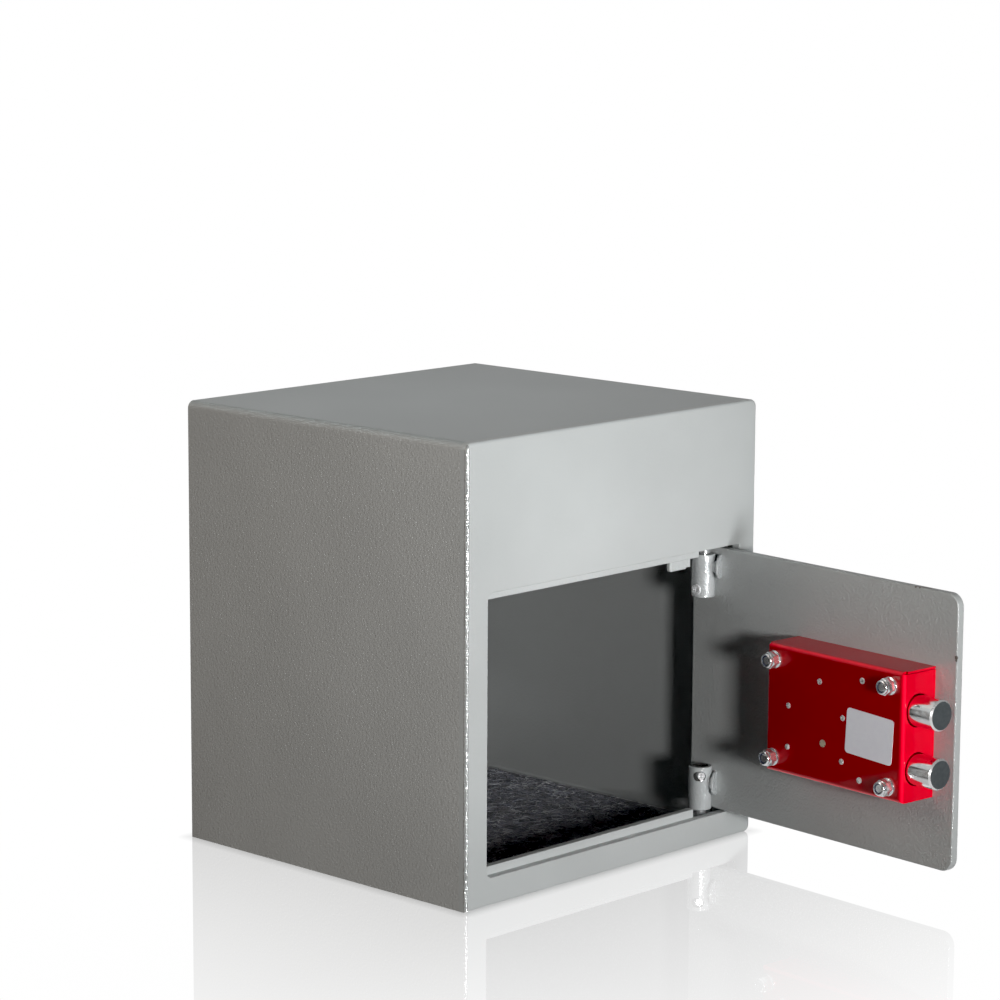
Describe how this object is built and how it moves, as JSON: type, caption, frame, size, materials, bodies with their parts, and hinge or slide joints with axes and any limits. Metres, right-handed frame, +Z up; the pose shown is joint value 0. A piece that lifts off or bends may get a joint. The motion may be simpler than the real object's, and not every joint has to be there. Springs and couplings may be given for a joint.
{
  "type": "deposit safe",
  "caption": "Steel deposit safe with its lower front door standing open, red lock case with round throw bolts on the door, tube hinges, carpeted floor and a drop slot in the back.",
  "frame": {"origin": "centre of the cabinet's footprint on the plane it stands on", "axes": "+X to the right seen from the front, the front face towards -Y, +Z up"},
  "size_m": [0.28, 0.468, 0.3],
  "materials": {
    "side_paint": "fine textured paint",
    "front_paint": "smooth satin paint",
    "inner_paint": "satin paint",
    "door_paint": "coarse textured paint",
    "hinge_paint": "gloss paint",
    "lock_paint": "gloss paint",
    "zinc": "bright zinc plate",
    "bolt_steel": "polished round bar",
    "lock_steel": "zinc plate",
    "lever_brass": "rolled sheet",
    "spring_steel": "spring strip",
    "nylon": "moulded",
    "label": "plain film",
    "carpet": "needle felt"
  },
  "bodies": {
    "cabinet": {"cabinet_wrap": "side_paint", "bottom_plate": "inner_paint", "back_plate": "side_paint", "front_plate": "front_paint", "upper_door_stop": "inner_paint", "lower_door_stop": "inner_paint", "upper_hinge_bracket": "inner_paint", "lower_hinge_bracket": "inner_paint", "deposit_chute": "inner_paint", "anti_fishing_hood": "inner_paint", "carpet_mat": "carpet"},
    "door": {"door_plate": "door_paint", "upper_hinge_tube": "hinge_paint", "lower_hinge_tube": "hinge_paint", "upper_hinge_pin": "zinc", "lower_hinge_pin": "zinc", "hinge_clamp_screws": "zinc", "hinge_lugs": "hinge_paint", "lock_case": "lock_paint", "lock_base_plate": "lock_paint", "lock_studs": "zinc", "lock_washers": "zinc", "lock_nuts": "zinc", "nut_inserts": "nylon", "guide_posts": "lock_steel", "cover_rivets": "lock_steel", "spring_block": "lock_steel", "spring_block_screw": "lock_steel", "blank_label": "label", "lever_springs": "spring_steel", "keyhole_escutcheon": "zinc", "escutcheon_screws": "zinc", "cover_pivot_rivet": "zinc"},
    "bolt_set": {"upper_bolt": "bolt_steel", "lower_bolt": "bolt_steel", "bolt_carriage": "lock_steel", "bolt_screws": "lock_steel"},
    "rotor": {"key_rotor": "lever_brass"},
    "lever_pack": {"levers": "lever_brass"},
    "cover": {"keyhole_cover": "zinc"}
  },
  "joints": [
    {"name": "door_hinge", "type": "hinge", "parent": "cabinet", "child": "door", "pos_m": [0.1031, -0.1162, 0.11], "axis": [0, 0, 1], "range_deg": [-85, 25]},
    {"name": "bolt_throw", "type": "slide", "parent": "door", "child": "bolt_set", "axis": [-0.0872, -0.9962, 0], "range_m": [0, 0.014]},
    {"name": "key_turn", "type": "hinge", "parent": "door", "child": "rotor", "pos_m": [0.0994, -0.25029, 0.0942], "axis": [0.9962, -0.0872, 0], "range_deg": [0, 180]},
    {"name": "lever_lift", "type": "slide", "parent": "door", "child": "lever_pack", "axis": [0, 0, 1], "range_m": [0, 0.002], "stiffness_N_per_m": 150, "springref_m": -0.002, "deforming": ["lever_springs"]},
    {"name": "cover_swing", "type": "hinge", "parent": "door", "child": "cover", "pos_m": [0.10817, -0.25105, 0.1067], "axis": [0.9962, -0.0872, 0], "continuous": true}
  ],
  "couplings": [
    {"joint": "key_turn", "follows": "bolt_throw", "rad_per_m": 224.4}
  ]
}
